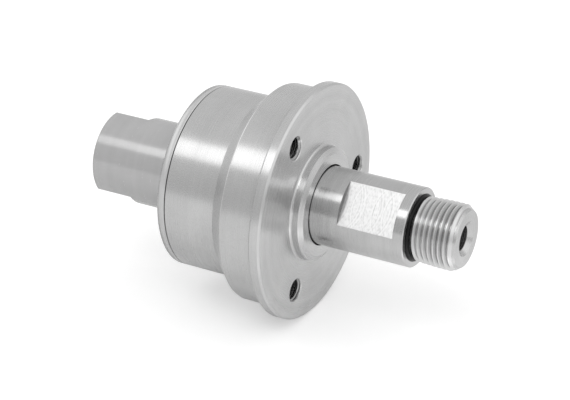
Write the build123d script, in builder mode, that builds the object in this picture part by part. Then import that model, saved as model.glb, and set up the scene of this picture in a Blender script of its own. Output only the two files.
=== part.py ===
from build123d import *
import os
from math import radians, tan

# Hydraulic rotary union, held by its flange.
# All lengths are in millimetres. The axis is X: the turning stud end points to +X, the
# fixed port neck to -X. The origin is the centre of the flange's mounting face.
# Every radius is about the X axis, and every angle runs from +Y towards +Z.

# Housing, outside
flange_diameter = 80.0
flange_thickness = 4.0
hub_diameter = 74.0
hub_length = 12.0
barrel_diameter = 62.0
edge_break = 0.6
joint_break = 0.35
corner_break = 0.25
tool_nose_radius = 0.4

# Centring boss on the mounting face
boss_diameter = 38.4
boss_height = 3.9
boss_chamfer_depth = 1.1
boss_chamfer_width = 1.9
boss_root_fillet = 0.9
shaft_gap = 0.45

# Tapped holes in the mounting face, drawn at the root of their thread
bolt_circle = 60.0
bolt_count = 3
screw_thread_diameter = 8.0
screw_thread_depth = 13.0
screw_drill = 6.8
screw_drill_depth = 15.0
screw_mouth = 8.5
screw_mouth_angle = 90.0
drill_point_angle = 118.0

# Two deep groove ball bearings
bearing_bore = 20.0
bearing_outside = 47.0
bearing_width = 14.0
bearing_corner = 1.0
ball_diameter = 7.938
ball_count = 8
raceway_share = 0.52
land_gap = 5.2
ball_play = 0.08
cage_wall = 2.4
cage_rim = 1.1
pocket_play = 0.15
spacer_width = 2.0
spacer_edge = 0.4

# Lock nut and tongued washer
washer_thickness = 1.0
nut_diameter = 32.0
nut_thickness = 5.0
nut_end_gap = 0.7
nut_side_gap = 1.4
nut_slot_count = 4
nut_slot_width = 4.0
nut_slot_depth = 2.0
tooth_count = 8
tooth_width = 3.2
tooth_height = 1.5
tongue_width = 3.8
tongue_depth = 1.3

# Rear cap and port neck
cap_web = 2.7
cap_thread_diameter = 50.0
cap_lead = 0.8
neck_diameter = 30.0
neck_root_fillet = 0.8
neck_end_chamfer = 0.4
neck_flat_width = 27.0
neck_flat_length = 13.4
neck_flat_rise = 0.5
neck_flat_angle = 60.0
port_thread_diameter = 20.955
port_thread_depth = 12.1
port_drill = 19.0
port_depth = 13.6
port_mouth = 0.9

# Turning shaft
shaft_diameter = 26.6
shoulder_chamfer = 0.3
shaft_flat_width = 22.0
shaft_flat_length = 19.7
shaft_flat_end_gap = 3.55
shaft_flat_angle = 140.0
flow_bore = 8.4
seat_chamfer = 0.5
tail_diameter = 18.6
tail_reach = 5.5
tail_chamfer = 0.5

# Threaded stud with its seal groove, drawn at the root of the thread
stud_reach = 53.6
stud_length = 16.35
thread_root_diameter = 20.0
thread_major_diameter = 22.225
thread_relief_length = 1.6
stud_end_diameter = 18.9
stud_chamfer_length = 2.3
bore_mouth = 1.55
stud_ring_inside = 18.77
stud_ring_section = 1.78
seal_recess_depth = 0.8
seal_recess_play = 0.12

# Face seal in the neck
neck_bore = 22.0
seal_bore = 9.0
seat_thickness = 4.3
seat_diameter = 14.3
seat_pocket_depth = 3.5
seat_groove_depth = 1.2
seat_groove_width = 1.8
seat_groove_radius = 5.9
hard_edge = 0.3
nose_diameter = 12.6
nose_length = 1.8
head_diameter = 20.8
head_length = 4.0
piston_diameter = 13.0
piston_guide = 5.9
piston_land = 7.0
spring_space = 6.4
spring_wire = 1.2
spring_radius = 8.2
spring_turns = 3.5
pin_count = 2
pin_diameter = 2.5
pin_play = 0.15
pin_seat_depth = 3.0
pin_front_gap = 0.5

# Dust seal behind the boss, and the housing wall in front of the bearings
front_web = 3.5
dust_seal_front_web = 0.4
dust_seal_height = 3.0
dust_seal_shell = 1.0
dust_seal_lip_width = 0.5
dust_seal_lip_gap = 0.3

# Grooves for the soft rings, and how round a squeezed ring's corners are
piston_groove_offset = 1.2
piston_ring_width = 2.0
piston_groove_depth = 1.75
backup_ring_width = 1.2
cap_groove_width = 2.0
cap_groove_depth = 1.4
soft_corner_share = 0.45

# Clearances
seat_fit = 0.02
thread_fit = 0.05
sliding_fit = 0.05
ring_play = 0.05
key_play = 0.15

# How close an edge lies to the station and radius that it is picked by
match = 0.01

# Radii worked out from the sizes above
flange_r = flange_diameter / 2
hub_r = hub_diameter / 2
barrel_r = barrel_diameter / 2
boss_r = boss_diameter / 2
shaft_r = shaft_diameter / 2
boss_bore_r = shaft_r + shaft_gap
seal_pocket_r = shaft_r + dust_seal_height
drill_point_length = screw_drill / 2 / tan(radians(drill_point_angle / 2))
bearing_bore_r = bearing_bore / 2
bearing_outside_r = bearing_outside / 2
pitch_r = (bearing_bore_r + bearing_outside_r) / 2
ball_r = ball_diameter / 2
inner_land_r = pitch_r - land_gap / 2
outer_land_r = pitch_r + land_gap / 2
raceway_r = raceway_share * ball_diameter
nut_r = nut_diameter / 2
cavity_r = nut_r + nut_side_gap
cap_thread_r = cap_thread_diameter / 2
neck_r = neck_diameter / 2
port_r = port_drill / 2
port_thread_r = port_thread_diameter / 2
bore_r = flow_bore / 2
seal_bore_r = seal_bore / 2
tail_r = tail_diameter / 2
thread_root_r = thread_root_diameter / 2
stud_ring_r = (stud_ring_inside + stud_ring_section) / 2
groove_root_r = stud_ring_inside / 2
recess_r = groove_root_r + stud_ring_section + seal_recess_play
neck_bore_r = neck_bore / 2
seat_r = seat_diameter / 2
head_r = head_diameter / 2
piston_r = piston_diameter / 2
piston_bore_r = piston_r + sliding_fit
piston_groove_r = piston_bore_r + piston_groove_depth
pin_r = pin_diameter / 2

# Stations along the axis, from the mounting face backwards
flange_rear = -flange_thickness
hub_rear = flange_rear - hub_length
barrel_front = hub_rear - (hub_r - barrel_r)
bearing_seat = -front_web
spacer_front = bearing_seat - bearing_width
spacer_rear = spacer_front - spacer_width
bearing_stack_end = spacer_rear - bearing_width
washer_rear = bearing_stack_end - washer_thickness
nut_rear = washer_rear - nut_thickness
barrel_rear = nut_rear - nut_end_gap
cap_rear = barrel_rear - cap_web
tail_end = nut_rear - tail_reach
seat_back = tail_end + seat_pocket_depth
seal_face = seat_back - seat_thickness
head_front = seal_face - nose_length
head_rear = head_front - head_length
chamber_floor = head_rear - spring_space
piston_end = chamber_floor - piston_guide
port_floor = chamber_floor - piston_land
neck_end = port_floor - port_depth
port_thread_floor = neck_end + port_thread_depth
pin_front = barrel_rear - pin_front_gap
pin_rear = chamber_floor - pin_seat_depth
piston_groove_front = chamber_floor - piston_groove_offset
backup_rear = piston_groove_front - backup_ring_width
piston_groove_rear = backup_rear - piston_ring_width
shoulder_reach = stud_reach - stud_length
recess_floor = shoulder_reach - seal_recess_depth
thread_relief_end = shoulder_reach + thread_relief_length
shaft_flat_middle = shoulder_reach - shaft_flat_end_gap - shaft_flat_length / 2
seal_pocket_front = -dust_seal_front_web


def turned(points: list[tuple[float, float]]) -> Part:
    """Turn a closed outline of (station, radius) points about the X axis."""
    with BuildPart() as body:
        with BuildSketch(Plane.XY):
            with BuildLine():
                Polyline(*points, close=True)
            make_face()
        revolve(axis=Axis.X)
    return body.part


def plain_ring(front: float, rear: float, inside: float, outside: float, edge: float) -> Part:
    """Make a flat ring from its two faces and radii, with small chamfers on every edge."""
    with BuildPart() as body:
        with BuildSketch(Plane.YZ.offset(rear)):
            Circle(outside)
            Circle(inside, mode=Mode.SUBTRACT)
        extrude(amount=front - rear)
        chamfer(body.edges().filter_by(GeomType.CIRCLE), length=edge)
    return body.part


def soft_ring(middle: float, width: float, inside: float, outside: float) -> Part:
    """Make a squeezed rubber ring with the rounded section that it has in its groove."""
    height = outside - inside
    round_off = soft_corner_share * min(width, height)
    with BuildPart() as body:
        with BuildSketch(Plane.XY):
            with Locations((middle, (inside + outside) / 2)):
                RectangleRounded(width, height, round_off)
        revolve(axis=Axis.X)
    return body.part


def bearing_ring(middle: float, inside: float, outside: float, groove_centre: float) -> Part:
    """Make a bearing ring with rounded corners and a deep raceway groove."""
    with BuildPart() as body:
        with BuildSketch(Plane.XY):
            with Locations((middle, (inside + outside) / 2)):
                RectangleRounded(bearing_width, outside - inside, bearing_corner)
            with Locations((middle, groove_centre)):
                Circle(raceway_r, mode=Mode.SUBTRACT)
        revolve(axis=Axis.X)
    return body.part


def bearing_inner_ring(middle: float) -> Part:
    """Make the inner ring of one bearing, its groove as deep as the balls need."""
    groove_bottom = pitch_r - ball_r - ball_play
    return bearing_ring(middle, bearing_bore_r + seat_fit, inner_land_r, groove_bottom + raceway_r)


def bearing_outer_ring(middle: float) -> Part:
    """Make the outer ring of one bearing, its groove as deep as the balls need."""
    groove_bottom = pitch_r + ball_r + ball_play
    return bearing_ring(middle, outer_land_r, bearing_outside_r - seat_fit, groove_bottom - raceway_r)


def bearing_balls(middle: float) -> Part:
    """Make the balls of one bearing, evenly spaced on the pitch circle."""
    with BuildPart() as body:
        with Locations(Plane.YZ.offset(middle)):
            with PolarLocations(pitch_r, ball_count):
                Sphere(ball_r)
    return body.part


def bearing_cage(middle: float) -> Part:
    """Make the machined cage of one bearing, with a drilled pocket for each ball."""
    pocket_r = ball_r + pocket_play
    width = 2 * (pocket_r + cage_rim)
    with BuildPart() as body:
        with BuildSketch(Plane.YZ.offset(middle - width / 2)):
            Circle(pitch_r + cage_wall / 2)
            Circle(pitch_r - cage_wall / 2, mode=Mode.SUBTRACT)
        extrude(amount=width)
        with Locations(Plane.YZ.offset(middle)):
            with PolarLocations(pitch_r, ball_count):
                Cylinder(pocket_r, 2 * cage_wall, rotation=(0, 90, 0), mode=Mode.SUBTRACT)
    return body.part


def rim(body: BuildPart, station: float, radius: float) -> ShapeList:
    """Find the round edge of a turned piece at one station and radius."""
    return body.edges().filter_by(GeomType.CIRCLE).filter_by(
        lambda edge: abs(edge.radius - radius) < match and abs(edge.center().X - station) < match
    )


def finished(part: Part, label: str) -> None:
    """Label a finished piece and write it as a STEP file named after it."""
    part.label = label
    export_step(part, f"parts/{label}.step")


os.makedirs("parts", exist_ok=True)

# Flange housing: flange, hub, 45 degree shoulder, barrel and boss, turned from one bar
with BuildPart() as flange_housing:
    with BuildSketch(Plane.XY):
        with BuildLine():
            Polyline(
                (boss_height, boss_bore_r),
                (boss_height, boss_r - boss_chamfer_width),
                (boss_height - boss_chamfer_depth, boss_r),
                (0, boss_r),
                (0, flange_r),
                (flange_rear, flange_r),
                (flange_rear, hub_r),
                (hub_rear, hub_r),
                (barrel_front, barrel_r),
                (barrel_rear, barrel_r),
                (barrel_rear, cap_thread_r + thread_fit),
                (bearing_stack_end, cap_thread_r + thread_fit),
                (bearing_stack_end, bearing_outside_r),
                (bearing_seat, bearing_outside_r),
                (bearing_seat, seal_pocket_r),
                (seal_pocket_front, seal_pocket_r),
                (seal_pocket_front, boss_bore_r),
                close=True,
            )
        make_face()
    revolve(axis=Axis.X)
    chamfer(rim(flange_housing, 0, flange_r), length=edge_break)
    chamfer(rim(flange_housing, flange_rear, flange_r), length=edge_break)
    chamfer(rim(flange_housing, barrel_rear, barrel_r), length=joint_break)
    chamfer(rim(flange_housing, hub_rear, hub_r), length=corner_break)
    fillet(rim(flange_housing, flange_rear, hub_r), radius=tool_nose_radius)
    fillet(rim(flange_housing, 0, boss_r), radius=boss_root_fillet)
    with Locations(Plane.YZ):
        with PolarLocations(bolt_circle / 2, bolt_count):
            CounterSinkHole(
                screw_thread_diameter / 2, screw_mouth / 2, screw_thread_depth, screw_mouth_angle
            )
            Hole(screw_drill / 2, screw_drill_depth)
    with Locations(Plane.YZ.offset(-screw_drill_depth)):
        with PolarLocations(bolt_circle / 2, bolt_count):
            Cone(
                0,
                screw_drill / 2,
                drill_point_length,
                align=(Align.CENTER, Align.CENTER, Align.MAX),
                mode=Mode.SUBTRACT,
            )
finished(flange_housing.part, "flange_housing")

# Rear cap: threaded spigot, thin rim and the port neck with its two spanner flats
with BuildPart() as rear_cap:
    with BuildSketch(Plane.XY):
        with BuildLine():
            Polyline(
                (bearing_stack_end, cavity_r),
                (bearing_stack_end, cap_thread_r - cap_lead),
                (bearing_stack_end - cap_lead, cap_thread_r),
                (barrel_rear + cap_groove_width, cap_thread_r),
                (barrel_rear + cap_groove_width, cap_thread_r - cap_groove_depth),
                (barrel_rear, cap_thread_r - cap_groove_depth),
                (barrel_rear, barrel_r - joint_break),
                (barrel_rear - joint_break, barrel_r),
                (cap_rear + joint_break, barrel_r),
                (cap_rear, barrel_r - joint_break),
                (cap_rear, neck_r),
                (neck_end + neck_end_chamfer, neck_r),
                (neck_end, neck_r - neck_end_chamfer),
                (neck_end, port_thread_r + port_mouth),
                (neck_end + port_mouth, port_thread_r),
                (port_thread_floor, port_thread_r),
                (port_thread_floor, port_r),
                (port_floor, port_r),
                (port_floor, piston_bore_r),
                (piston_groove_rear, piston_bore_r),
                (piston_groove_rear, piston_groove_r),
                (piston_groove_front, piston_groove_r),
                (piston_groove_front, piston_bore_r),
                (chamber_floor, piston_bore_r),
                (chamber_floor, neck_bore_r),
                (barrel_rear, neck_bore_r),
                (barrel_rear, cavity_r),
                close=True,
            )
        make_face()
    revolve(axis=Axis.X)
    fillet(rim(rear_cap, cap_rear, neck_r), radius=neck_root_fillet)
    # Each flat ends in a slope up to the round, and its cut starts and rises clear of the neck
    flat_height = neck_diameter - neck_flat_width
    slope_length = 2 * neck_flat_rise
    for side in (0, 180):
        flat_plane = Plane.XY.rotated((neck_flat_angle + side, 0, 0))
        with BuildSketch(flat_plane):
            with BuildLine():
                Polyline(
                    (neck_end - flat_height, neck_flat_width / 2),
                    (neck_end + neck_flat_length, neck_flat_width / 2),
                    (neck_end + neck_flat_length + slope_length, neck_flat_width / 2 + flat_height),
                    (neck_end - flat_height, neck_flat_width / 2 + flat_height),
                    close=True,
                )
            make_face()
        extrude(amount=neck_r, both=True, mode=Mode.SUBTRACT)
    # Half round grooves that hold the two pins
    with Locations(Plane.YZ.offset((barrel_rear + pin_rear) / 2)):
        with PolarLocations(neck_bore_r, pin_count, start_angle=neck_flat_angle):
            Cylinder(pin_r + seat_fit, barrel_rear - pin_rear, mode=Mode.SUBTRACT)
finished(rear_cap.part, "rear_cap")

# Turning shaft: stud, shoulder with the seal recess, flats, bearing seat, nut thread and tail
stud_root_chamfer = stud_chamfer_length * (thread_root_r - stud_end_diameter / 2) / (
    (thread_major_diameter - stud_end_diameter) / 2
)
with BuildPart() as rotor_shaft:
    with BuildSketch(Plane.XY):
        with BuildLine():
            Polyline(
                (stud_reach, bore_r + bore_mouth),
                (stud_reach, stud_end_diameter / 2),
                (stud_reach - stud_root_chamfer, thread_root_r),
                (thread_relief_end, thread_root_r),
                (thread_relief_end, groove_root_r),
                (recess_floor, groove_root_r),
                (recess_floor, recess_r),
                (shoulder_reach, recess_r),
                (shoulder_reach, shaft_r - shoulder_chamfer),
                (shoulder_reach - shoulder_chamfer, shaft_r),
                (bearing_seat, shaft_r),
                (bearing_seat, bearing_bore_r),
                (nut_rear + seat_chamfer, bearing_bore_r),
                (nut_rear, bearing_bore_r - seat_chamfer),
                (nut_rear, tail_r),
                (tail_end + tail_chamfer, tail_r),
                (tail_end, tail_r - tail_chamfer),
                (tail_end, seat_r + seat_fit),
                (seat_back, seat_r + seat_fit),
                (seat_back, seat_groove_radius + seat_groove_width / 2),
                (seat_back + seat_groove_depth, seat_groove_radius + seat_groove_width / 2),
                (seat_back + seat_groove_depth, seat_groove_radius - seat_groove_width / 2),
                (seat_back, seat_groove_radius - seat_groove_width / 2),
                (seat_back, bore_r),
                (stud_reach - bore_mouth, bore_r),
                close=True,
            )
        make_face()
    revolve(axis=Axis.X)
    # Two spanner flats, milled square at both ends
    for side in (0, 180):
        flat_plane = Plane.XY.rotated((shaft_flat_angle + side, 0, 0))
        with BuildSketch(flat_plane):
            with Locations((shaft_flat_middle, shaft_flat_width / 2 + shaft_r / 2)):
                Rectangle(shaft_flat_length, shaft_r)
        extrude(amount=shaft_r, both=True, mode=Mode.SUBTRACT)
    # Keyway in the nut thread for the washer's tongue
    with BuildSketch(Plane.XY.offset(bearing_bore_r - tongue_depth)):
        with Locations(((bearing_stack_end + nut_rear) / 2, 0)):
            Rectangle(bearing_stack_end - nut_rear, tongue_width + 2 * key_play)
    extrude(amount=2 * tongue_depth, mode=Mode.SUBTRACT)
finished(rotor_shaft.part, "rotor_shaft")

# The two bearings, four pieces each
front_bearing_middle = bearing_seat - bearing_width / 2
rear_bearing_middle = spacer_rear - bearing_width / 2
for place, middle in (("front", front_bearing_middle), ("rear", rear_bearing_middle)):
    finished(bearing_outer_ring(middle), f"{place}_bearing_outer_ring")
    finished(bearing_inner_ring(middle), f"{place}_bearing_inner_ring")
    finished(bearing_balls(middle), f"{place}_bearing_balls")
    finished(bearing_cage(middle), f"{place}_bearing_cage")

# Spacers between the bearings
inner_spacer = plain_ring(
    spacer_front, spacer_rear, bearing_bore_r + seat_fit, inner_land_r, spacer_edge
)
finished(inner_spacer, "inner_spacer")
outer_spacer = plain_ring(
    spacer_front, spacer_rear, outer_land_r, bearing_outside_r - seat_fit, spacer_edge
)
finished(outer_spacer, "outer_spacer")

# Tongued washer: outer teeth, an inner tongue in the keyway and one tooth bent into a nut slot
tooth_root_r = nut_r - nut_slot_depth
with BuildPart() as lock_washer:
    with BuildSketch(Plane.YZ.offset(washer_rear)):
        Circle(tooth_root_r)
        with PolarLocations(tooth_root_r, tooth_count):
            Rectangle(2 * tooth_height, tooth_width)
        Circle(bearing_bore_r + thread_fit, mode=Mode.SUBTRACT)
        with Locations((0, bearing_bore_r - tongue_depth / 2 + key_play)):
            Rectangle(tongue_width, tongue_depth)
    extrude(amount=washer_thickness)
    with BuildSketch(Plane.YZ.offset(washer_rear)):
        with Locations((tooth_root_r + nut_slot_depth / 2, 0)):
            Rectangle(washer_thickness, tooth_width)
    extrude(amount=-nut_thickness / 2)
finished(lock_washer.part, "lock_washer")

# Slotted round nut
with BuildPart() as lock_nut:
    with BuildSketch(Plane.YZ.offset(nut_rear)):
        Circle(nut_r)
        Circle(bearing_bore_r + thread_fit, mode=Mode.SUBTRACT)
    extrude(amount=nut_thickness)
    nut_rim = lock_nut.edges().filter_by(GeomType.CIRCLE).group_by(SortBy.RADIUS)[-1]
    chamfer(nut_rim, length=edge_break)
    with BuildSketch(Plane.YZ.offset(nut_rear)):
        with PolarLocations(nut_r, nut_slot_count):
            Rectangle(2 * nut_slot_depth, nut_slot_width)
    extrude(amount=nut_thickness, mode=Mode.SUBTRACT)
finished(lock_nut.part, "lock_nut")

# Dust seal: a rubber shell with one lip that leans forward to the shaft
seal_outer_r = seal_pocket_r - seat_fit
seal_rear = bearing_seat + seat_fit
seal_front = seal_pocket_front - seat_fit
shell_r = seal_outer_r - dust_seal_shell
lip_root_r = shell_r - dust_seal_lip_width
lip_r = shaft_r + ring_play
lip_front = seal_front - dust_seal_lip_gap
dust_seal = turned(
    [
        (seal_rear, seal_outer_r),
        (seal_front, seal_outer_r),
        (seal_front, shell_r),
        (seal_rear + 2 * dust_seal_shell, shell_r),
        (lip_front, lip_r),
        (lip_front - dust_seal_lip_width, lip_r),
        (seal_rear + dust_seal_shell, lip_root_r),
        (seal_rear, lip_root_r),
    ]
)
finished(dust_seal, "dust_seal")

# Rubber rings in their grooves
cap_o_ring = soft_ring(
    barrel_rear + cap_groove_width / 2,
    cap_groove_width - 2 * ring_play,
    cap_thread_r - cap_groove_depth + seat_fit,
    cap_thread_r + thread_fit - seat_fit,
)
finished(cap_o_ring, "cap_o_ring")
piston_o_ring = soft_ring(
    (backup_rear + piston_groove_rear) / 2,
    piston_ring_width - 2 * ring_play,
    piston_r + ring_play,
    piston_groove_r - seat_fit,
)
finished(piston_o_ring, "piston_o_ring")
seat_o_ring = soft_ring(
    seat_back + seat_groove_depth / 2,
    seat_groove_depth - 2 * seat_fit,
    seat_groove_radius - seat_groove_width / 2 + ring_play,
    seat_groove_radius + seat_groove_width / 2 - ring_play,
)
finished(seat_o_ring, "seat_o_ring")
with BuildPart() as stud_o_ring:
    with BuildSketch(Plane.XY):
        with Locations((recess_floor + stud_ring_section / 2, stud_ring_r)):
            Circle(stud_ring_section / 2)
    revolve(axis=Axis.X)
finished(stud_o_ring.part, "stud_o_ring")

# Backup ring beside the piston ring, on the side away from the pressure
backup_ring = plain_ring(
    piston_groove_front - ring_play,
    backup_rear + ring_play,
    piston_r + ring_play,
    piston_groove_r - seat_fit,
    ring_play,
)
finished(backup_ring, "backup_ring")

# Hard seat ring in the shaft's tail
seat_ring = plain_ring(seat_back, seal_face, seal_bore_r, seat_r, hard_edge)
finished(seat_ring, "seat_ring")

# Floating seal ring: nose, head with two pin notches, and the piston that slides in the cap
with BuildPart() as floating_seal_ring:
    with BuildSketch(Plane.XY):
        with BuildLine():
            Polyline(
                (seal_face, seal_bore_r),
                (seal_face, nose_diameter / 2),
                (head_front, nose_diameter / 2),
                (head_front, head_r - hard_edge),
                (head_front - hard_edge, head_r),
                (head_rear + hard_edge, head_r),
                (head_rear, head_r - hard_edge),
                (head_rear, piston_r),
                (piston_end + hard_edge, piston_r),
                (piston_end, piston_r - hard_edge),
                (piston_end, seal_bore_r),
                close=True,
            )
        make_face()
    revolve(axis=Axis.X)
    with BuildSketch(Plane.YZ.offset(head_rear)):
        with PolarLocations(neck_bore_r, pin_count, start_angle=neck_flat_angle):
            Circle(pin_r + pin_play)
    extrude(amount=head_length, mode=Mode.SUBTRACT)
finished(floating_seal_ring.part, "floating_seal_ring")

# Pins that keep the floating ring from turning
with BuildPart() as anti_rotation_pins:
    with Locations(Plane.YZ.offset((pin_front + pin_rear) / 2)):
        with PolarLocations(neck_bore_r, pin_count, start_angle=neck_flat_angle):
            Cylinder(pin_r, pin_front - pin_rear)
    chamfer(anti_rotation_pins.edges().filter_by(GeomType.CIRCLE), length=hard_edge)
finished(anti_rotation_pins.part, "anti_rotation_pins")

# Compression spring round the piston, its ends ground flat
with BuildPart() as seal_spring:
    with BuildLine() as spring_line:
        Helix(
            pitch=spring_space / spring_turns,
            height=spring_space,
            radius=spring_radius,
            center=(chamber_floor, 0, 0),
            direction=(1, 0, 0),
        )
    with BuildSketch(spring_line.line ^ 0):
        Circle(spring_wire / 2)
    sweep(is_frenet=True)
    split(bisect_by=Plane.YZ.offset(chamber_floor), keep=Keep.TOP)
    split(bisect_by=Plane.YZ.offset(head_rear), keep=Keep.BOTTOM)
finished(seal_spring.part, "seal_spring")
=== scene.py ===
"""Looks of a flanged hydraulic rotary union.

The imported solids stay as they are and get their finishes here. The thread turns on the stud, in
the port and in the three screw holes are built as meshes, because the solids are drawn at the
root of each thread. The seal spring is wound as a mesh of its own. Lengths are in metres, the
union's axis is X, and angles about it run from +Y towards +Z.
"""

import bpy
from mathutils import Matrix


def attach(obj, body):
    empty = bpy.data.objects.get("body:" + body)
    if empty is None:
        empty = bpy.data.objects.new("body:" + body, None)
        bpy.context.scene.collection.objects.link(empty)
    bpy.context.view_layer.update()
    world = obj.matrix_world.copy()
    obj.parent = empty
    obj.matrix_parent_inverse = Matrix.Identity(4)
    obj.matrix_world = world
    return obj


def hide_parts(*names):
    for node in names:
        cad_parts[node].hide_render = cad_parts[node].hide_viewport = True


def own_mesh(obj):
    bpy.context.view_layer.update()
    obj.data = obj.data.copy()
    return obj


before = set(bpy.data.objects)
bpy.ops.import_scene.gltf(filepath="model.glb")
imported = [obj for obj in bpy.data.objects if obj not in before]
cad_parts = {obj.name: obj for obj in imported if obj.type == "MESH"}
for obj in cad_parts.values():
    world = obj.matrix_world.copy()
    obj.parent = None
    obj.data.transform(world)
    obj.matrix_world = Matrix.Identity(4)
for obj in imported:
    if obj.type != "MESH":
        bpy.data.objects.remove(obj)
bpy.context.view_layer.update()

import logging
import math
from collections.abc import Callable
from dataclasses import dataclass
from enum import Enum

import bmesh
import bpy
from mathutils import Vector

log = logging.getLogger("rotary_union")

Colour = tuple[float, float, float]
Socket = bpy.types.NodeSocket
Feed = float | tuple[float, ...] | bpy.types.NodeSocket

MM = 0.001

# How far a point may lie from a surface and still count as lying on it.
TOLERANCE = 0.03 * MM
# The distance below which two points of a mesh become one.
WELD = 0.0005 * MM
# The angle between two faces, in degrees, above which their edge stays sharp.
SHARP_ANGLE = 28.0
# The turn, in parts of a full one, that lays reflections across the tool marks.
ACROSS_MARKS = 0.25
WHITE = (1.0, 1.0, 1.0)


def grey(level: float) -> Colour:
    """Give the neutral colour of one brightness."""
    return (level, level, level)


class Body(Enum):
    """The bodies of the union that pieces ride on."""

    STATOR = "stator"
    ROTOR = "rotor"


class Slot(Enum):
    """The record's material slots; the builders are given one, but the pieces take their finish
    directly.
    """

    TURNED_STEEL = "turned_steel"
    GROUND_STEEL = "ground_steel"
    SPRING_STEEL = "spring_steel"


class ThreadSide(Enum):
    """Whether the turns stand out from a stud or in from the wall of a hole."""

    STUD = 1
    HOLE = -1


class Axis(Enum):
    """The union's three directions."""

    X = "X"
    Y = "Y"
    Z = "Z"


@dataclass(frozen=True)
class Span:
    """The stretch over which something comes in.

    Attributes:
        start: Where it begins.
        end: Where all of it is there, which may lie below the start.
    """

    start: float
    end: float


@dataclass(frozen=True)
class Grain:
    """How fine a noise is.

    Attributes:
        scale: How many features there are to a metre.
        detail: How many finer layers it has.
    """

    scale: float
    detail: float


# The part of its range from 0 to 1 that soft noise fills.
NOISE_RANGE = Span(0.3, 0.7)


class Shader:
    """A material or a world under construction, with short ways to add and join its nodes."""

    def __init__(self, owner: bpy.types.Material | bpy.types.World) -> None:
        """Start with no nodes.

        Args:
            owner: The material or the world that the nodes belong to.
        """
        owner.use_nodes = True
        self.tree = owner.node_tree
        self.tree.nodes.clear()

    def feed(self, socket: Socket, value: Feed) -> None:
        """Give an input a fixed value, or join it to another node's output.

        Args:
            socket: The input to set.
            value: A number, a vector or colour, or an output socket.
        """
        if isinstance(value, bpy.types.NodeSocket):
            self.tree.links.new(value, socket)
        elif isinstance(value, tuple) and len(value) == 3 and len(socket.default_value) == 4:
            socket.default_value = (*value, 1.0)
        else:
            socket.default_value = value

    def node(self, kind: str, feeds: dict[str | int, Feed], **settings: object) -> bpy.types.Node:
        """Add a node, set its options and feed its inputs.

        Args:
            kind: The node's Blender type.
            feeds: What goes into each input, by name or number.
            **settings: The node's own options.

        Returns:
            The new node.
        """
        made = self.tree.nodes.new(kind)
        for name, value in settings.items():
            setattr(made, name, value)
        for name, value in feeds.items():
            self.feed(made.inputs[name], value)
        return made

    def math(self, operation: str, *values: Feed) -> Socket:
        """Work out one number from others, by Blender's name for the operation."""
        feeds = dict(enumerate(values))
        return self.node("ShaderNodeMath", feeds, operation=operation).outputs[0]

    def blend(self, share: Feed, low: Feed, high: Feed) -> Socket:
        """Mix two numbers, where the share says how much of the second there is."""
        feeds = {0: share, 2: low, 3: high}
        return self.node("ShaderNodeMix", feeds, data_type="FLOAT").outputs[0]

    def tint(self, share: Feed, low: Feed, high: Feed) -> Socket:
        """Mix two colours, where the share says how much of the second there is."""
        feeds = {0: share, 6: low, 7: high}
        return self.node("ShaderNodeMix", feeds, data_type="RGBA").outputs[2]

    def product(self, *values: Feed) -> Socket:
        """Multiply numbers, such as masks that have to hold together.

        Args:
            *values: Two or more numbers or sockets.

        Returns:
            The product's socket.
        """
        result, *others = values
        for other in others:
            result = self.math("MULTIPLY", result, other)
        return result

    def between(self, value: Feed, low: float, high: float) -> Socket:
        """Make a mask that is 1 where a number lies between two others."""
        above = self.math("GREATER_THAN", value, low)
        return self.product(above, self.math("LESS_THAN", value, high))

    def scaled(self, value: Feed, span: Span, low: float, high: float) -> Socket:
        """Carry a number from a span to the range from low to high, and hold it there."""
        feeds = {0: value, 1: span.start, 2: span.end, 3: low, 4: high}
        return self.node("ShaderNodeMapRange", feeds, clamp=True).outputs[0]

    def mask(self, value: Feed, span: Span) -> Socket:
        """Make a mask that comes in as a number moves along a span."""
        return self.scaled(value, span, 0.0, 1.0)

    def noise(self, where: Feed, grain: Grain) -> Socket:
        """Make soft noise in space, from 0 to 1."""
        feeds = {"Vector": where, "Scale": grain.scale, "Detail": grain.detail}
        return self.node("ShaderNodeTexNoise", feeds).outputs["Fac"]

    def stripes(self, where: Feed, grain: Grain) -> Socket:
        """Make uneven stripes along one direction, from 0 to 1."""
        feeds = {"W": where, "Scale": grain.scale, "Detail": grain.detail}
        return self.node("ShaderNodeTexNoise", feeds, noise_dimensions="1D").outputs["Fac"]

    def offset(self, place: Socket, direction: tuple[float, ...]) -> Socket:
        """Measure how far a point lies from the union's axis in one direction."""
        feeds = {0: place, 1: direction}
        return self.node("ShaderNodeVectorMath", feeds, operation="DOT_PRODUCT").outputs["Value"]

    def apart(self, value: Feed, other: Feed) -> Socket:
        """Measure how far two numbers lie apart, without a sign."""
        return self.math("ABSOLUTE", self.math("SUBTRACT", value, other))

    def show(self, surface: Socket) -> None:
        """Join the surface to the material's output."""
        self.node("ShaderNodeOutputMaterial", {"Surface": surface})


@dataclass(frozen=True)
class Spot:
    """A point on the metal, as a material under construction knows it.

    Attributes:
        shader: The material.
        place: The point in the union's frame.
        station: Its place along X.
        radius: Its distance from the axis.
    """

    shader: Shader
    place: Socket
    station: Socket
    radius: Socket


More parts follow.
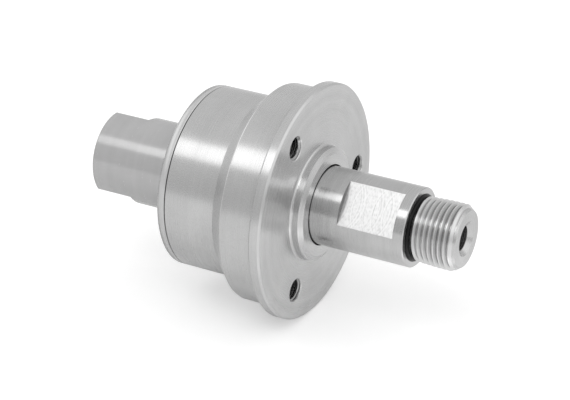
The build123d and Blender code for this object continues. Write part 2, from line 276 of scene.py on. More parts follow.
@dataclass(frozen=True)
class MilledPatch:
    """Two opposite flats milled across a round piece.

    Attributes:
        angle: The direction of the first flat's normal about X, in degrees.
        distance: How far each flat lies from the axis.
        start: The flats' end nearest the port.
        end: The flats' end nearest the stud.
        cutter: The radius of the arcs that the cutter leaves.
        colour: The fresh cut metal's colour.
        deep: The colour of its marks, as a share of that.
        wall_painted_shade: The painted shade on the steep walls where the flats end, a dark colour
            put where shade falls.
        roughness: The fresh cut metal's roughness.
        relief: How high its marks are, as a multiple of the marks round the piece.
        ahead: The fineness of the arcs that curve towards the stud.
        behind: The fineness of the arcs that curve towards the port.
        scratch: The fineness of the scratches over them.
        scratch_share: How much of the colour's pattern the scratches make.
        contrast: The part of that pattern that runs from the deep colour to the bright one.
    """

    angle: float
    distance: float
    start: float
    end: float
    cutter: float = 13.0 * MM
    colour: Colour = grey(0.63)
    deep: float = 0.66
    # Painted shade: the dark colour of the flats' end walls, where shade falls.
    wall_painted_shade: Colour = grey(0.16)
    roughness: float = 0.30
    relief: float = 5.0
    ahead: Grain = Grain(2400.0, 5.0)
    behind: Grain = Grain(1900.0, 5.0)
    scratch: Grain = Grain(1100.0, 4.0)
    scratch_share: float = 0.35
    contrast: Span = Span(0.34, 0.54)

    def where(self, spot: Spot) -> tuple[Socket, Socket, Socket]:
        """Find the flats on the piece.

        Args:
            spot: The point on the metal.

        Returns:
            A mask that is 1 on the flats, one that is 1 on their end walls, and the distance
            across them.
        """
        shader = spot.shader
        turn = math.radians(self.angle)
        height = shader.offset(spot.place, (0.0, math.cos(turn), math.sin(turn)))
        side = shader.offset(spot.place, (0.0, -math.sin(turn), math.cos(turn)))
        height = shader.math("ABSOLUTE", height)
        on_plane = shader.math("LESS_THAN", shader.apart(height, self.distance), TOLERANCE)
        flats = shader.product(on_plane, shader.between(spot.station, self.start, self.end))
        from_middle = shader.apart(spot.station, (self.start + self.end) / 2)
        from_end = shader.apart(from_middle, (self.end - self.start) / 2)
        at_end = shader.math("LESS_THAN", from_end, TOLERANCE)
        raised = shader.math("GREATER_THAN", height, self.distance + TOLERANCE)
        return flats, shader.product(at_end, raised), side

    def marks(self, spot: Spot, side: Socket) -> Socket:
        """Draw the crossed arcs that a face cutter leaves.

        Args:
            spot: The point on the metal.
            side: The distance across the flat.

        Returns:
            The height of the marks, from 0 to 1.
        """
        shader = spot.shader
        square = shader.product(side, side)
        rise = shader.math("SQRT", shader.math("SUBTRACT", self.cutter**2, square))
        ahead = shader.stripes(shader.math("ADD", spot.station, rise), self.ahead)
        behind = shader.stripes(shader.math("SUBTRACT", spot.station, rise), self.behind)
        return shader.blend(0.5, ahead, behind)

    def cut_colour(self, spot: Spot, marks: Socket) -> Socket:
        """Colour the fresh cut metal by its marks and scratches.

        Args:
            spot: The point on the metal.
            marks: The height of the marks.

        Returns:
            The colour's socket.
        """
        scratches = spot.shader.noise(spot.place, self.scratch)
        pattern = spot.shader.blend(self.scratch_share, marks, scratches)
        deep = tuple(self.deep * part for part in self.colour)
        return spot.shader.tint(spot.shader.mask(pattern, self.contrast), deep, self.colour)


@dataclass(frozen=True)
class JointShade:
    """The dark line where two turned pieces meet, painted as the shade in the gap between them.

    Attributes:
        station: Where it lies along X.
        half_width: How far it reaches to either side.
        inside: The radius below which the metal is out of sight and stays as it is.
        colour: The colour of the painted shade in it.
        full: The share of the half width over which it is fully dark.
    """

    station: float
    half_width: float
    inside: float
    colour: Colour = grey(0.04)
    full: float = 0.6

    def where(self, spot: Spot) -> Socket:
        """Find the line on the piece.

        Args:
            spot: The point on the metal.

        Returns:
            A mask that is 1 in the line.
        """
        off = spot.shader.apart(spot.station, self.station)
        near = spot.shader.mask(off, Span(self.half_width, self.full * self.half_width))
        outer = spot.shader.math("GREATER_THAN", spot.radius, self.inside)
        return spot.shader.product(near, outer)


@dataclass(frozen=True)
class RootShade:
    """Painted shade that darkens the roots of an outside thread.

    Attributes:
        start: The station where the thread begins.
        end: The station where the chamfer at its end begins.
        inside: The radius below which the metal stays as it is.
        root: The radius of the thread's root, where the painted shade is darkest.
        unshaded: The radius above which the flanks carry no painted shade.
        colour: The colour of the painted shade.
    """

    start: float
    end: float
    inside: float
    root: float
    unshaded: float
    colour: Colour = grey(0.38)

    def where(self, spot: Spot) -> Socket:
        """Find the roots on the piece.

        Args:
            spot: The point on the metal.

        Returns:
            A mask that is 1 at the root and 0 on the flanks without shade.
        """
        low = spot.shader.mask(spot.radius, Span(self.unshaded, self.root))
        outer = spot.shader.math("GREATER_THAN", spot.radius, self.inside)
        return spot.shader.product(
            low, outer, spot.shader.between(spot.station, self.start, self.end)
        )


@dataclass(frozen=True)
class RoundedRimHighlight:
    """A rim whose outer corner is rounded off, by bump only, and whose metal is lightened as a
    painted highlight.

    Attributes:
        start: The station where the rounding begins; it goes on from there towards the port.
        inside: The radius below which the metal stays as it is.
        radius: The rounding's radius.
        colour: The rim's lighter colour, a painted highlight.
    """

    start: float
    inside: float
    radius: float
    # Painted highlight: the rim's metal is lightened to this colour.
    colour: Colour = grey(0.61)

    def where(self, spot: Spot) -> Socket:
        """Make a mask that is 1 on the rim."""
        return spot.shader.math("GREATER_THAN", spot.radius, self.inside)

    def drop(self, spot: Spot) -> Socket:
        """Find how far the rounding lies below the plain rim.

        Args:
            spot: The point on the metal.

        Returns:
            The height in metres, 0 or below.
        """
        shader = spot.shader
        reach = shader.math("MAXIMUM", shader.math("SUBTRACT", self.start, spot.station), 0.0)
        drop = shader.math("DIVIDE", shader.product(reach, reach), -2.0 * self.radius)
        return shader.product(drop, self.where(spot))


@dataclass(frozen=True)
class MetalFinish:
    """Bare metal cut by a tool that went round the X axis.

    Attributes:
        name: The material's name.
        colour: The metal's colour.
        roughness: How matt it is.
        feed: The distance between tool marks.
        depth: The height of the tool marks.
        grain: How much the roughness changes from mark to mark.
        stain: How much the colour changes over some millimetres.
        anisotropy: How far reflections stretch across the marks.
        metallic: How much of it mirrors like bare metal; the rest is a dull skin.
        patch: Flats milled on the piece, if it has any.
        joint: The painted shade of the dark line where it meets the next piece, if one shows.
        rim: The rounding of its rim, with a painted highlight on it, if it has one.
        root_shade: The painted shade in the roots of its thread, if it has any.
        drift: The noise that makes the marks run unevenly.
        mark_detail: How many finer layers the single marks have.
        band: How many broad bands there are to a mark.
        speckle: The fine grain of the metal itself.
        speckle_height: The height of that grain, as a share of the marks'.
        cloud: The noise of its stains.
        band_share: How much of the stains the broad bands make.
        contrast: The part of the stains that runs from dark to light.
    """

    name: str
    colour: Colour
    roughness: float
    feed: float = 0.3 * MM
    depth: float = 0.002 * MM
    grain: float = 0.07
    stain: float = 0.05
    anisotropy: float = 0.5
    metallic: float = 1.0
    patch: MilledPatch | None = None
    joint: JointShade | None = None
    rim: RoundedRimHighlight | None = None
    root_shade: RootShade | None = None
    drift: Grain = Grain(60.0, 2.0)
    mark_detail: float = 3.0
    band: float = 0.12
    speckle: Grain = Grain(3500.0, 2.0)
    speckle_height: float = 0.35
    cloud: Grain = Grain(90.0, 3.0)
    band_share: float = 0.3
    contrast: Span = Span(0.35, 0.65)

    def bare(self, spot: Spot) -> tuple[Socket, Socket, Socket]:
        """Draw the tool marks, the metal's grain and its stains.

        Args:
            spot: The point on the metal.

        Returns:
            The height, the roughness and the colour.
        """
        shader, place = spot.shader, spot.place
        lay = shader.math("ADD", spot.station, spot.radius)
        lay = shader.math("ADD", lay, shader.product(shader.noise(place, self.drift), self.feed))
        fine = shader.stripes(lay, Grain(1.0 / self.feed, self.mark_detail))
        broad = shader.stripes(lay, Grain(self.band / self.feed, 1.0))
        speckle = shader.noise(place, self.speckle)
        height = shader.math("ADD", fine, shader.product(speckle, self.speckle_height))
        smooth, matt = self.roughness - self.grain / 2, self.roughness + self.grain / 2
        rough = shader.math(
            "ADD",
            shader.scaled(fine, NOISE_RANGE, smooth, matt),
            shader.scaled(speckle, NOISE_RANGE, -self.grain / 3, self.grain / 3),
        )
        tone = shader.blend(self.band_share, shader.noise(place, self.cloud), broad)
        darker = tuple(part * (1.0 - self.stain) for part in self.colour)
        lighter = tuple(min(1.0, part * (1.0 + self.stain)) for part in self.colour)
        return height, rough, shader.tint(shader.mask(tone, self.contrast), darker, lighter)

    def material(self) -> bpy.types.Material:
        """Make the metal.

        Returns:
            The material.
        """
        made = bpy.data.materials.new(self.name)
        shader = Shader(made)
        place = shader.node("ShaderNodeTexCoord", {}).outputs["Object"]
        parts = shader.node("ShaderNodeSeparateXYZ", {0: place})
        flat = shader.node("ShaderNodeCombineXYZ", {1: parts.outputs["Y"], 2: parts.outputs["Z"]})
        length = shader.node("ShaderNodeVectorMath", {0: flat.outputs[0]}, operation="LENGTH")
        spot = Spot(shader, place, parts.outputs["X"], length.outputs["Value"])
        height, rough, colour = self.bare(spot)
        if self.patch:
            mask, wall, side = self.patch.where(spot)
            marks = self.patch.marks(spot, side)
            height = shader.blend(mask, height, shader.product(marks, self.patch.relief))
            rough = shader.blend(mask, rough, self.patch.roughness)
            colour = shader.tint(mask, colour, self.patch.cut_colour(spot, marks))
            # Painted shade: the flats' steep end walls are darkened.
            colour = shader.tint(wall, colour, self.patch.wall_painted_shade)
        if self.rim:
            # Painted highlight: the rim is lightened to its colour.
            colour = shader.tint(self.rim.where(spot), colour, self.rim.colour)
            drop = shader.math("DIVIDE", self.rim.drop(spot), self.depth)
            height = shader.math("ADD", height, drop)
        # Painted shade: the dark line at the joint and the roots of the thread are darkened.
        for dark in (self.joint, self.root_shade):
            if dark:
                colour = shader.tint(dark.where(spot), colour, dark.colour)
        feeds = {"Strength": 1.0, "Distance": self.depth, "Height": height}
        bump = shader.node("ShaderNodeBump", feeds)
        tangent = shader.node("ShaderNodeTangent", {}, direction_type="RADIAL", axis="X")
        surface = shader.node(
            "ShaderNodeBsdfPrincipled",
            {
                "Base Color": colour,
                "Metallic": self.metallic,
                "Roughness": rough,
                "Anisotropic": self.anisotropy,
                "Anisotropic Rotation": ACROSS_MARKS,
                "Tangent": tangent.outputs[0],
                "Normal": bump.outputs[0],
            },
        )
        shader.show(surface.outputs[0])
        return made


@dataclass(frozen=True)
class SoftFinish:
    """Rubber or plastic, with a faint skin and dust.

    Attributes:
        name: The material's name.
        colour: The material's colour.
        dust: The colour of its lighter flecks.
        roughness: How matt it is.
        gloss: How strongly its skin mirrors, where 0.5 is a usual plastic.
        depth: The height of its skin.
        uneven: How far the roughness goes to either side.
        skin: The noise of its skin.
        strength: How strongly the skin shows.
        fleck: The noise of its flecks.
        fleck_range: The part of that noise where flecks come in.
        fleck_share: How far they cover it at most.
    """

    name: str
    colour: Colour
    dust: Colour
    roughness: float
    gloss: float = 0.5
    depth: float = 0.01 * MM
    uneven: float = 0.08
    skin: Grain = Grain(4000.0, 3.0)
    strength: float = 0.6
    fleck: Grain = Grain(900.0, 4.0)
    fleck_range: Span = Span(0.6, 0.8)
    fleck_share: float = 0.6

    def material(self) -> bpy.types.Material:
        """Make the rubber or plastic.

        Returns:
            The material.
        """
        made = bpy.data.materials.new(self.name)
        shader = Shader(made)
        place = shader.node("ShaderNodeTexCoord", {}).outputs["Object"]
        skin = shader.noise(place, self.skin)
        flecks = shader.noise(place, self.fleck)
        flecks = shader.scaled(flecks, self.fleck_range, 0.0, self.fleck_share)
        smooth, matt = self.roughness - self.uneven, self.roughness + self.uneven
        feeds = {"Strength": self.strength, "Distance": self.depth, "Height": skin}
        bump = shader.node("ShaderNodeBump", feeds)
        surface = shader.node(
            "ShaderNodeBsdfPrincipled",
            {
                "Base Color": shader.tint(flecks, self.colour, self.dust),
                "Roughness": shader.scaled(skin, NOISE_RANGE, smooth, matt),
                "Specular IOR Level": self.gloss,
                "Normal": bump.outputs[0],
            },
        )
        shader.show(surface.outputs[0])
        return made


# Painted shade: the stud thread is darkened towards the roots of its turns.
STUD_ROOT_SHADE = RootShade(
    start=38.9 * MM, end=51.3 * MM, inside=8.0 * MM, root=10.02 * MM, unshaded=10.25 * MM
)
# Painted shade: the dark line where the cap meets the housing.
CAP_JOINT_SHADE = JointShade(station=-40.08 * MM, half_width=0.30 * MM, inside=30.0 * MM)
TURNED = MetalFinish(
    "turned stainless steel",
    grey(0.60),
    roughness=0.28,
    anisotropy=0.75,
    joint=CAP_JOINT_SHADE,
)
NECK = MetalFinish(
    "turned cap steel",
    grey(0.51),
    roughness=0.22,
    depth=0.001 * MM,
    anisotropy=0.5,
    metallic=0.6,
    patch=MilledPatch(60.0, 13.5 * MM, start=-79.0 * MM, end=-65.15 * MM, relief=3.0),
    joint=CAP_JOINT_SHADE,
    rim=RoundedRimHighlight(start=-40.4 * MM, inside=30.0 * MM, radius=3.5 * MM),
)
SHAFT = MetalFinish(
    "ground shaft steel",
    grey(0.56),
    roughness=0.25,
    feed=0.2 * MM,
    depth=0.0012 * MM,
    anisotropy=0.7,
    patch=MilledPatch(140.0, 11.0 * MM, start=14.0 * MM, end=33.7 * MM),
    root_shade=STUD_ROOT_SHADE,
)
THREAD = MetalFinish(
    "cut thread steel",
    grey(0.68),
    roughness=0.31,
    feed=0.15 * MM,
    depth=0.001 * MM,
    root_shade=STUD_ROOT_SHADE,
)
# Painted shade: the turns in the screw holes and the port are darkened, as shade inside the holes.
HOLE_THREAD_SHADE = MetalFinish(
    "hole thread steel with painted shade", grey(0.38), roughness=0.24, feed=0.15 * MM, depth=0.001 * MM
)
BEARING = MetalFinish(
    "ground bearing steel", grey(0.66), roughness=0.16, feed=0.1 * MM, depth=0.0005 * MM
)
BALL = MetalFinish(
    "lapped ball steel", grey(0.72), roughness=0.06, grain=0.02, stain=0.02, anisotropy=0.0
)
BRASS = MetalFinish("machined cage brass", (0.72, 0.53, 0.24), roughness=0.30)
SPRING = MetalFinish("drawn spring steel", grey(0.42), roughness=0.34, anisotropy=0.0)
CARBIDE = MetalFinish(
    "lapped carbide", (0.30, 0.30, 0.31), roughness=0.14, grain=0.04, stain=0.03, anisotropy=0.0
)
RUBBER = SoftFinish("black rubber", grey(0.004), grey(0.03), roughness=0.30, gloss=0.2)
WHITE_PLASTIC = SoftFinish(
    "white sealing plastic", (0.82, 0.81, 0.78), (0.7, 0.69, 0.66), roughness=0.5
)


def dress(node: str, finish: MetalFinish | SoftFinish) -> None:
    """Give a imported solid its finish.

    Args:
        node: The solid's node name.
        finish: The finish to put in its material slots.
    """
    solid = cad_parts[node]
    material = bpy.data.materials.get(finish.name) or finish.material()
    for place in solid.material_slots:
        place.material = material
    log.info("%s: %s", node, finish.name)


def strip_faces(count: int, width: int) -> list[tuple[int, ...]]:
    """Join a row of rings of points into one closed strip.

    Args:
        count: How many steps there are from the first ring to the last.
        width: How many points a ring has.

    Returns:
        The faces' point numbers, with both ends closed.
    """
    faces = [tuple(range(width)), tuple(count * width + place for place in reversed(range(width)))]
    for step in range(count):
        for place in range(width):
            beside = (place + 1) % width
            low, high = step * width, (step + 1) * width
            faces.append((low + place, high + place, high + beside, low + beside))
    return faces


@dataclass(frozen=True)
class ThreadForm:
    """The sizes of a screw thread.

    Attributes:
        root: The radius that its turns stand on.
        crest: The radius of their flat tops.
        pitch: The distance from turn to turn.
        crest_share: The width of a top, as a share of the pitch.
        root_share: The flat between two turns, as a share of the pitch.
    """

    root: float
    crest: float
    pitch: float
    crest_share: float
    root_share: float


@dataclass
class ThreadTurns:
    """The turns of one screw thread, as a ridge that winds along X on the thread's root.

    Attributes:
        name: The piece's name.
        side: Whether it is cut on a stud or in a hole.
        form: The thread's sizes.
        start: The station where the thread begins.
        end: The station where it ends.
        phase: The station of one crest at angle 0.
        limit: The radius that the ridge is trimmed to, at each station.
        share: How much of its full height the ridge has, at each station.
        centre: The place of the thread's axis across X.
        steps: How many facets a turn has.
        across: How many facets each flank has.
        sink: How deep the ridge's foot lies in the solid.
    """

    name: str
    side: ThreadSide
    form: ThreadForm
    start: float
    end: float
    phase: float
    limit: Callable[[float], float]
    share: Callable[[float], float] = lambda station: 1.0
    centre: tuple[float, float] = (0.0, 0.0)
    steps: int = 96
    across: int = 4
    sink: float = 0.2 * MM

    def offsets(self) -> list[tuple[float, float]]:
        """Lay out one ridge's section.

        Returns:
            Pairs of a distance along X from the ridge's middle, and a radius.
        """
        form = self.form
        foot = form.pitch * (1.0 - form.root_share) / 2
        top = form.pitch * form.crest_share / 2
        rise = form.crest - form.root
        flank = [
            (foot + (top - foot) * step / self.across, form.root + rise * step / self.across)
            for step in range(self.across + 1)
        ]
        left = [(-along, radius) for along, radius in flank]
        return left + [(0.0, form.crest)] + flank[::-1]

    def trimmed(self, station: float, radius: float) -> float:
        """Keep a point of the ridge within the thread's outline.

        Args:
            station: Where the point is along X.
            radius: Its radius on a full ridge.

        Returns:
            Its radius on the trimmed ridge, never above the foot's.
        """
        root = self.form.root
        foot = root - self.side.value * self.sink / 2
        if not self.start <= station <= self.end:
            return foot
        radius = root + (radius - root) * self.share(station)
        if self.side is ThreadSide.STUD:
            return max(foot, min(radius, self.limit(station)))
        return min(foot, max(radius, self.limit(station)))

    def mesh(self) -> bpy.types.Mesh:
        """Build the ridge as one closed strip.

        Returns:
            The mesh, in the union's frame.
        """
        pitch = self.form.pitch
        buried = self.form.root - self.side.value * self.sink
        section = self.offsets()
        foot = section[-1][0]
        ring = [(-foot, buried), *section, (foot, buried)]
        first = math.ceil((self.start - self.phase) / pitch - 1.0)
        last = math.floor((self.end - self.phase) / pitch + 1.0)
        count = (last - first) * self.steps
        points: list[tuple[float, float, float]] = []
        for step in range(count + 1):
            turn = first + step / self.steps
            middle = self.phase + pitch * turn
            angle = math.tau * turn
            for place, (along, radius) in enumerate(ring):
                station = middle + along
                if 0 < place < len(ring) - 1:
                    radius = self.trimmed(station, radius)
                points.append(
                    (
                        min(max(station, self.start), self.end),
                        self.centre[0] + radius * math.cos(angle),
                        self.centre[1] + radius * math.sin(angle),
                    )
                )
        made = bpy.data.meshes.new(self.name)
        made.from_pydata(points, [], strip_faces(count, len(ring)))
        return made

    def build(self, body: Body, slot: Slot, finish: MetalFinish) -> bpy.types.Object:
        """Make the thread's piece and let it ride on its body."""
        return placed(tidied(self.mesh()), body, finish)


def tidied(made: bpy.types.Mesh) -> bpy.types.Mesh:
    """Drop faces without area, turn all faces outwards and shade the mesh by its angles.

    Args:
        made: The mesh to tidy.

    Returns:
        The same mesh.
    """
    work = bmesh.new()
    work.from_mesh(made)
    bmesh.ops.remove_doubles(work, verts=work.verts, dist=WELD)
    bmesh.ops.dissolve_degenerate(work, dist=WELD, edges=work.edges)
    bmesh.ops.recalc_face_normals(work, faces=work.faces)
    work.to_mesh(made)
    work.free()
    made.shade_smooth()
    made.set_sharp_from_angle(angle=math.radians(SHARP_ANGLE))
    return made


def placed(
    made: bpy.types.Mesh, body: Body, finish: MetalFinish
) -> bpy.types.Object:
    """Turn a mesh into a piece that rides on one of the union's bodies.

    Args:
        made: The mesh, in the union's frame. The piece takes its name.
        body: The body that it rides on.
        finish: Its finish.

    Returns:
        The piece.
    """
    piece = bpy.data.objects.new(made.name, made)
    bpy.context.scene.collection.objects.link(piece)
    made.materials.append(bpy.data.materials.get(finish.name) or finish.material())
    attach(piece, body.value)
    log.info("%s: %d faces", piece.name, len(made.polygons))
    return piece


@dataclass
class Housing:
    """The flange housing and the turns in its three screw holes.

    Attributes:
        screw_circle: The radius of the circle that the holes lie on.
        screw_count: How many holes there are.
        form: Their thread's sizes.
        depth: How deep the turns go.
        mouth: How far the holes' edges are broken.
        first_phase: How far below the mouth the first hole's first crest lies, in pitches.
        phase_step: How much lower it lies from hole to hole, in pitches.
    """

    screw_circle: float = 30.0 * MM
    screw_count: int = 3
    form: ThreadForm = ThreadForm(4.0 * MM, 3.33 * MM, 1.25 * MM, 1 / 4, 1 / 8)
    depth: float = 13.0 * MM
    mouth: float = 0.25 * MM
    first_phase: float = 0.3
    phase_step: float = 0.2

    def screw_limit(self, station: float) -> float:
        """Give the smallest radius of a hole's turns, which open like its mouth."""
        return max(self.form.crest, self.form.root + self.mouth + station)

    def build(self) -> list[bpy.types.Object]:
        """Dress the housing and build its screw threads.

        Returns:
            The thread pieces.
        """
        dress("flange_housing", TURNED)
        pieces = []
        for number in range(self.screw_count):
            angle = math.tau * number / self.screw_count
            phase = self.first_phase + self.phase_step * number
            turns = ThreadTurns(
                name=f"screw_thread_{number + 1}",
                side=ThreadSide.HOLE,
                form=self.form,
                start=-self.depth,
                end=-self.mouth,
                phase=-self.mouth - self.form.pitch * phase,
                limit=self.screw_limit,
                centre=(self.screw_circle * math.cos(angle), self.screw_circle * math.sin(angle)),
                steps=48,
                across=3,
            )
            pieces.append(turns.build(Body.STATOR, Slot.TURNED_STEEL, HOLE_THREAD_SHADE))
        return pieces


@dataclass
class RearCap:
    """The rear cap and the turns in its port.

    Attributes:
        neck_end: The station of the neck's open end.
        mouth: How far the port's edge is broken.
        form: The port's thread sizes.
        depth: How far from the neck's end the turns reach.
        first_phase: How far inside the mouth the first crest lies, in pitches.
    """

    neck_end: float = -78.6 * MM
    mouth: float = 0.9 * MM
    form: ThreadForm = ThreadForm(10.4775 * MM, 9.32 * MM, 1.814 * MM, 1 / 5, 1 / 6)
    depth: float = 12.1 * MM
    first_phase: float = 0.4

    def port_limit(self, station: float) -> float:
        """Give the smallest radius of the port's turns, which open like its mouth."""
        inward = station - self.neck_end
        return max(self.form.crest, self.form.root + self.mouth - inward)

    def build(self) -> list[bpy.types.Object]:
        """Dress the cap and build its port thread.

        Returns:
            The thread piece, in a list.
        """
        dress("rear_cap", NECK)
        turns = ThreadTurns(
            name="port_thread",
            side=ThreadSide.HOLE,
            form=self.form,
            start=self.neck_end + self.mouth,
            end=self.neck_end + self.depth,
            phase=self.neck_end + self.mouth + self.first_phase * self.form.pitch,
            limit=self.port_limit,
        )
        return [turns.build(Body.STATOR, Slot.TURNED_STEEL, HOLE_THREAD_SHADE)]


@dataclass
class Rotor:
    """The turning shaft with its stud thread, nut, washer and spacer.

    Attributes:
        thread_start: The station where the stud's thread begins.
        stud_reach: The station of the stud's end.
        form: Its thread's sizes.
        end_radius: The radius of the stud's end face.
        end_chamfer: The length of the chamfer behind it.
        first_crest: The station of one crest at angle 0.
        first_turn: The radius of the first turn's top.
        lead_slope: How fast the next turns rise to full height, as radius over length.
    """

    thread_start: float = 38.85 * MM
    stud_reach: float = 53.6 * MM
    form: ThreadForm = ThreadForm(10.0 * MM, 11.1125 * MM, 1.814 * MM, 1 / 6, 1 / 5)
    end_radius: float = 9.45 * MM
    end_chamfer: float = 2.3 * MM
    first_crest: float = 40.35 * MM
    first_turn: float = 10.72 * MM
    lead_slope: float = 0.05

    @property
    def end_slope(self) -> float:
        """Give the slope of the chamfer at the stud's end, as rise of radius over length."""
        return (self.form.crest - self.end_radius) / self.end_chamfer

    def stud_limit(self, station: float) -> float:
        """Give the largest radius of the stud's turns, which keep to its end chamfer."""
        tip = self.end_radius + (self.stud_reach - station) * self.end_slope
        return min(tip, self.form.crest)

    def stud_share(self, station: float) -> float:
        """Give the turns' share of their full height, which is less for the first."""
        run_in = self.first_turn + (station - self.thread_start) * self.lead_slope
        return min(1.0, (run_in - self.form.root) / (self.form.crest - self.form.root))

    def build(self) -> list[bpy.types.Object]:
        """Dress the rotor's solids and build the stud thread.

        Returns:
            The thread piece, in a list.
        """
        dress("rotor_shaft", SHAFT)
        for node in ("lock_nut", "inner_spacer"):
            dress(node, TURNED)
        dress("lock_washer", SPRING)
        turns = ThreadTurns(
            name="stud_thread",
            side=ThreadSide.STUD,
            form=self.form,
            start=self.thread_start,
            end=self.stud_reach - (self.form.root - self.end_radius) / self.end_slope,
            phase=self.first_crest,
            limit=self.stud_limit,
            share=self.stud_share,
            steps=128,
            across=5,
        )
        return [turns.build(Body.ROTOR, Slot.GROUND_STEEL, THREAD)]


@dataclass
class Bearings:
    """The two ball bearings and the spacer between their outer rings."""

    places: tuple[str, ...] = ("front", "rear")

    def build(self) -> list[bpy.types.Object]:
        """Dress the bearings' solids.

        Returns:
            An empty list, because nothing is added to them.
        """
        for place in self.places:
            dress(f"{place}_bearing_outer_ring", BEARING)
            dress(f"{place}_bearing_inner_ring", BEARING)
            dress(f"{place}_bearing_balls", BALL)
            dress(f"{place}_bearing_cage", BRASS)
        dress("outer_spacer", TURNED)
        return []


@dataclass
class SealSpring:
    """The spring behind the floating ring, which shortens as the ring slides back.

    Attributes:
        back: The station of its fixed end.
        front: The station of the end that presses on the floating ring.
        radius: The radius of the wire's centre line.
        wire: The wire's own radius.
        turns: How many turns it has.
        travel: How far the floating ring slides back. It is not used.
        steps: How many facets a turn has.
        around: How many facets there are round the wire.
    """

    back: float = -58.0 * MM
    front: float = -51.6 * MM
    radius: float = 8.2 * MM
    wire: float = 0.6 * MM
    turns: float = 3.5
    travel: float = 1.0 * MM
    steps: int = 64
    around: int = 16

    def mesh(self) -> bpy.types.Mesh:
        """Wind the wire, with both ends ground flat.

        Returns:
            The mesh, in the union's frame.
        """
        count = round(self.turns * self.steps)
        points: list[tuple[float, float, float]] = []
        for step in range(count + 1):
            angle = math.tau * step / self.steps
            middle = self.back + (self.front - self.back) * step / count
            for facet in range(self.around):
                turn = math.tau * facet / self.around
                station = min(max(middle + self.wire * math.sin(turn), self.back), self.front)
                radius = self.radius + self.wire * math.cos(turn)
                points.append((station, radius * math.cos(angle), radius * math.sin(angle)))
        made = bpy.data.meshes.new("seal_spring_coil")
        made.from_pydata(points, [], strip_faces(count, self.around))
        return made

    def build(self) -> bpy.types.Object:
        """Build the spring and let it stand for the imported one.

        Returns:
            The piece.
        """
        coil = placed(tidied(self.mesh()), Body.STATOR, SPRING)
        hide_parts("seal_spring")
        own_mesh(coil)
        return coil


@dataclass
class Seals:
    """The hard seal rings, their spring and pins, and all the soft rings."""

    hard: tuple[str, ...] = ("seat_ring", "floating_seal_ring")
    soft: tuple[str, ...] = (
        "stud_o_ring",
        "dust_seal",
        "cap_o_ring",
        "seat_o_ring",
        "piston_o_ring",
    )

    def build(self) -> list[bpy.types.Object]:
        """Dress the seals' solids and build the spring.

        Returns:
            The spring, in a list.
        """
        for node in self.hard:
            dress(node, CARBIDE)
        for node in self.soft:
            dress(node, RUBBER)
        dress("backup_ring", WHITE_PLASTIC)
        dress("seal_spring", SPRING)
        dress("anti_rotation_pins", BEARING)
        return [SealSpring().build()]


@dataclass(frozen=True)
class SoftBox:
    """A lamp with a plain rectangular face.

    Attributes:
        name: The lamp's name.
        place: Where its middle is.
        aim: The point that it faces.
        width: Its size along X.
        height: Its size across that.
        glow: How bright its face is, where 1 is white.
    """

    name: str
    place: tuple[float, float, float]
    aim: tuple[float, float, float]
    width: float
    height: float
    glow: float

    def build(self) -> bpy.types.Object:
        """Hang the lamp.

        Returns:
            The lamp.
        """
        lamp = bpy.data.lights.new(self.name, "AREA")
        lamp.shape = "RECTANGLE"
        lamp.size = self.width
        lamp.size_y = self.height
        lamp.energy = self.glow * math.pi * self.width * self.height
        hung = bpy.data.objects.new(self.name, lamp)
        bpy.context.scene.collection.objects.link(hung)
        hung.location = self.place
        facing = Vector(self.aim) - Vector(self.place)
        hung.rotation_euler = facing.to_track_quat("-Z", "Y").to_euler()
        return hung


@dataclass(frozen=True)
class Zone:
    """A patch with soft edges, on the floor or in the tent.

    Attributes:
        glow: The light that it has or adds.
        edges: Each edge's direction, and the span over which the patch comes in there.
    """

    glow: float
    edges: tuple[tuple[Axis, Span], ...]

    def where(self, shader: Shader, parts: bpy.types.Node) -> Socket:
        """Make a mask that is 1 in the patch."""
        edges = [shader.mask(parts.outputs[axis.value], span) for axis, span in self.edges]
        return shader.product(*edges)


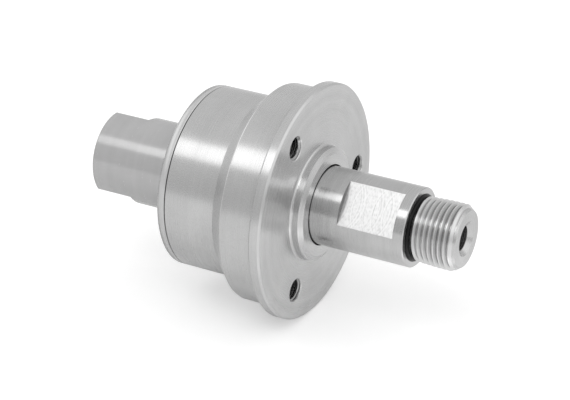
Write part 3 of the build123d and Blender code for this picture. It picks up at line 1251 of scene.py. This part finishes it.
@dataclass
class Studio:
    """The pale floor, the light tent round the union, the lamp and the camera.

    Attributes:
        floor_level: The floor's height.
        floor_size: Its length and width.
        floor_colour: Its colour.
        floor_stain: The colour of its darker specks, as a share of that.
        floor_grain: The noise of the specks.
        floor_lift: The light it gives off towards the camera, so that it shows white.
        mirror_lift: The light it gives off towards the metal.
        front_glow_patch: A patch of it, before the stud, that glows white for the metal only, as
            painted light.
        face_glow_patch: A dimmer patch of it, under the flange's face, that glows for the metal
            only, as painted light.
        tent_rise: The heights between which the tent grows lighter.
        tent_low: How bright the tent is below them.
        tent_high: How bright it is above them.
        dark_side: Its darker part, to the front.
        bright_end: Its brighter part, beyond the stud.
        bright_left: Its brighter part, beyond the port.
        azimuth: The direction that the camera stands in, in degrees.
        elevation: How steeply it looks down, in degrees.
        lens: Its focal length in millimetres.
        sensor: The width of its film in millimetres.
        camera_place: Where it stands.
        camera_range: The nearest and the farthest distance that it sees.
        key: The softbox over the front.
    """

    floor_level: float = -40.2 * MM
    floor_size: float = 12.0
    floor_colour: Colour = grey(0.86)
    floor_stain: float = 0.985
    floor_grain: Grain = Grain(40.0, 2.0)
    floor_lift: float = 0.34
    mirror_lift: float = 0.03
    # Painted light: a patch of the floor that glows only for reflections in the metal.
    front_glow_patch: Zone = Zone(
        1.0,
        (
            (Axis.X, Span(30.0 * MM, 60.0 * MM)),
            (Axis.X, Span(80.0 * MM, 65.0 * MM)),
            (Axis.Y, Span(0.0, -30.0 * MM)),
            (Axis.Y, Span(-56.0 * MM, -46.0 * MM)),
        ),
    )
    # Painted light: a dimmer glowing patch of the floor under the flange's face.
    face_glow_patch: Zone = Zone(
        0.16, ((Axis.X, Span(-2.0 * MM, 6.0 * MM)), (Axis.Y, Span(90.0 * MM, 50.0 * MM)))
    )
    tent_rise: Span = Span(-0.4, 0.7)
    tent_low: float = 0.65
    tent_high: float = 0.78
    dark_side: Zone = Zone(
        0.52,
        ((Axis.X, Span(-0.44, -0.36)), (Axis.Y, Span(-0.5, -0.7)), (Axis.Z, Span(-0.1, 0.1))),
    )
    bright_end: Zone = Zone(0.46, ((Axis.X, Span(0.42, 0.58)), (Axis.Z, Span(0.15, 0.45))))
    bright_left: Zone = Zone(0.7, ((Axis.X, Span(-0.72, -0.84)), (Axis.Z, Span(0.15, 0.35))))
    azimuth: float = 28.3
    elevation: float = 27.55
    lens: float = 123.86
    sensor: float = 36.0
    camera_place: tuple[float, float, float] = (0.2624, -0.5096, 0.2998)
    camera_range: tuple[float, float] = (0.01, 50.0)
    key: SoftBox = SoftBox(
        name="key softbox",
        place=(0.0, -0.72, 1.07),
        aim=(0.0, 0.0, 0.0),
        width=1.6,
        height=0.48,
        glow=1.45,
    )

    def floor_paint(self) -> bpy.types.Material:
        """Make the floor's paint, with two glowing patches of painted light that only the metal
        sees.

        Returns:
            The material.
        """
        paint = bpy.data.materials.new("pale floor")
        shader = Shader(paint)
        place = shader.node("ShaderNodeTexCoord", {}).outputs["Object"]
        parts = shader.node("ShaderNodeSeparateXYZ", {0: place})
        specks = shader.mask(shader.noise(place, self.floor_grain), NOISE_RANGE)
        darker = tuple(self.floor_stain * part for part in self.floor_colour)
        colour = shader.tint(specks, darker, self.floor_colour)
        matt = shader.node("ShaderNodeBsdfDiffuse", {"Color": colour})
        paths = shader.node("ShaderNodeLightPath", {})
        seen = shader.product(paths.outputs["Is Camera Ray"], self.floor_lift)
        # Painted light: the patches glow only for glossy rays, so the metal shows them as
        # reflections.
        front_glow_mask = self.front_glow_patch.where(shader, parts)
        bounce = shader.blend(front_glow_mask, self.mirror_lift, self.front_glow_patch.glow)
        under = shader.product(self.face_glow_patch.where(shader, parts), self.face_glow_patch.glow)
        bounce = shader.math("ADD", bounce, under)
        mirrored = shader.product(paths.outputs["Is Glossy Ray"], bounce)
        glow = shader.math("ADD", seen, mirrored)
        lift = shader.node("ShaderNodeEmission", {"Color": WHITE, "Strength": glow})
        both = shader.node("ShaderNodeAddShader", {0: matt.outputs[0], 1: lift.outputs[0]})
        shader.show(both.outputs[0])
        return paint

    def build_floor(self) -> None:
        """Lay the floor, which shows white with the union's shadow on it."""
        half = self.floor_size / 2
        corners = [(-half, -half, 0), (half, -half, 0), (half, half, 0), (-half, half, 0)]
        made = bpy.data.meshes.new("floor")
        made.from_pydata(corners, [], [(0, 1, 2, 3)])
        made.materials.append(self.floor_paint())
        floor = bpy.data.objects.new("floor", made)
        floor.location.z = self.floor_level
        bpy.context.scene.collection.objects.link(floor)

    def build_tent(self) -> None:
        """Light the union from all round with a pale tent that isn't equally bright."""
        world = bpy.data.worlds.new("light tent")
        bpy.context.scene.world = world
        shader = Shader(world)
        look = shader.node("ShaderNodeTexCoord", {}).outputs["Generated"]
        parts = shader.node("ShaderNodeSeparateXYZ", {0: look})
        level = shader.scaled(parts.outputs["Z"], self.tent_rise, self.tent_low, self.tent_high)
        level = shader.blend(self.dark_side.where(shader, parts), level, self.dark_side.glow)
        for zone in (self.bright_end, self.bright_left):
            added = shader.product(zone.where(shader, parts), zone.glow)
            level = shader.math("ADD", level, added)
        paths = shader.node("ShaderNodeLightPath", {})
        level = shader.blend(paths.outputs["Is Camera Ray"], level, 1.0)
        sky = shader.node("ShaderNodeBackground", {"Color": WHITE, "Strength": level})
        shader.node("ShaderNodeOutputWorld", {"Surface": sky.outputs[0]})

    def build_camera(self) -> None:
        """Stand the camera where the photograph was taken from."""
        camera = bpy.data.cameras.new("camera")
        camera.lens = self.lens
        camera.sensor_width = self.sensor
        camera.clip_start, camera.clip_end = self.camera_range
        stand = bpy.data.objects.new("camera", camera)
        stand.location = self.camera_place
        tilt = math.radians(90.0 - self.elevation)
        stand.rotation_euler = (tilt, 0.0, math.radians(self.azimuth))
        bpy.context.scene.collection.objects.link(stand)
        bpy.context.scene.camera = stand

    def build(self) -> None:
        """Set up the studio."""
        bpy.context.scene.view_settings.view_transform = "Standard"
        self.build_floor()
        self.build_tent()
        self.build_camera()
        self.key.build()


def main() -> None:
    """Dress the union, build its threads and spring, and light it."""
    logging.basicConfig(level=logging.INFO, format="%(message)s")
    for part in (Housing(), RearCap(), Rotor(), Bearings(), Seals()):
        pieces = part.build()
        log.info("%s done, %d pieces added", type(part).__name__, len(pieces))
    Studio().build()


if __name__ == "__main__":
    main()
